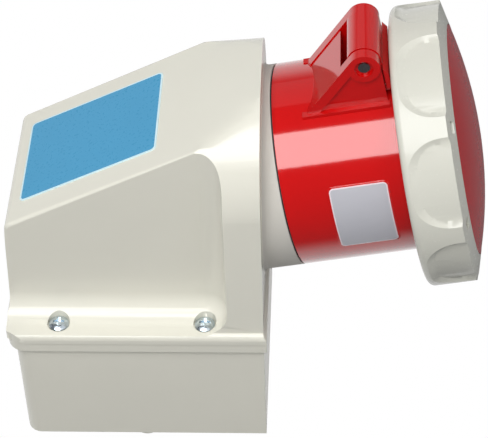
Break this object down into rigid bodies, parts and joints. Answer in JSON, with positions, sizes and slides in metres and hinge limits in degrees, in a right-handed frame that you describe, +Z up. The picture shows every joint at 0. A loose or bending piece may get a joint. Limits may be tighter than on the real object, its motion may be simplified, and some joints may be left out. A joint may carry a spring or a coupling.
{
  "type": "industrial wall socket",
  "caption": "Wall-mounted industrial power socket: box, hooded cover with sloping face, red barrel, hinged spring lid and bayonet ring.",
  "frame": {"origin": "centre of the four wall screw holes, on the wall plane", "axes": "+Z up the wall, towards the cable entry; -Y out of the wall; the socket leaves the hood downwards; X across the box"},
  "size_m": [0.124, 0.2018, 0.2146],
  "materials": {
    "cream_plastic": "glossy moulded plastic, cream grey",
    "red_plastic": "glossy moulded plastic, signal red",
    "black_rubber": "matte sealing rubber",
    "grey_rubber": "matte grey sealing rubber",
    "black_plastic": "satin glass-filled plastic",
    "grey_plastic": "satin glass-filled plastic",
    "brass": "turned brass",
    "steel_pin": "bright steel",
    "zinc_screw": "blue zinc plate"
  },
  "bodies": {
    "housing": {"back_box": "cream_plastic", "front_cover": "cream_plastic", "cover_gasket": "black_rubber", "cover_screws": "zinc_screw", "entry_seal": "grey_rubber", "earth_terminal": "brass", "neck_gasket": "black_rubber", "socket_barrel": "red_plastic", "barrel_lugs": "red_plastic", "hinge_bracket": "red_plastic", "barrel_screws": "zinc_screw", "insert_face": "black_plastic", "contact_carrier": "black_plastic", "insert_flange": "black_plastic", "contact_towers": "black_plastic", "terminal_carrier": "grey_plastic", "carrier_screws": "zinc_screw", "clamp_screws": "zinc_screw", "contact_l1": "brass", "contact_l2": "brass", "contact_l3": "brass", "contact_n": "brass", "contact_pe": "brass", "pilot_contact": "brass", "terminal_screws": "zinc_screw", "hinge_pin": "steel_pin"},
    "lid": {"lid_cap": "red_plastic", "lid_gasket": "black_rubber", "hinge_spring": "steel_pin"},
    "ring": {"bayonet_ring": "cream_plastic", "ring_lugs": "cream_plastic"}
  },
  "joints": [
    {"name": "lid_hinge", "type": "hinge", "parent": "housing", "child": "lid", "pos_m": [0, -0.19461, -0.09981], "axis": [-1, 0, 0], "range_deg": [0, 125], "stiffness_Nm_per_rad": 0.12, "springref_deg": -143.24},
    {"name": "ring_turn", "type": "hinge", "parent": "lid", "child": "ring", "pos_m": [0, -0.1257, -0.0692], "axis": [0, 0.1908, 0.9816], "range_deg": [0, 30]}
  ]
}
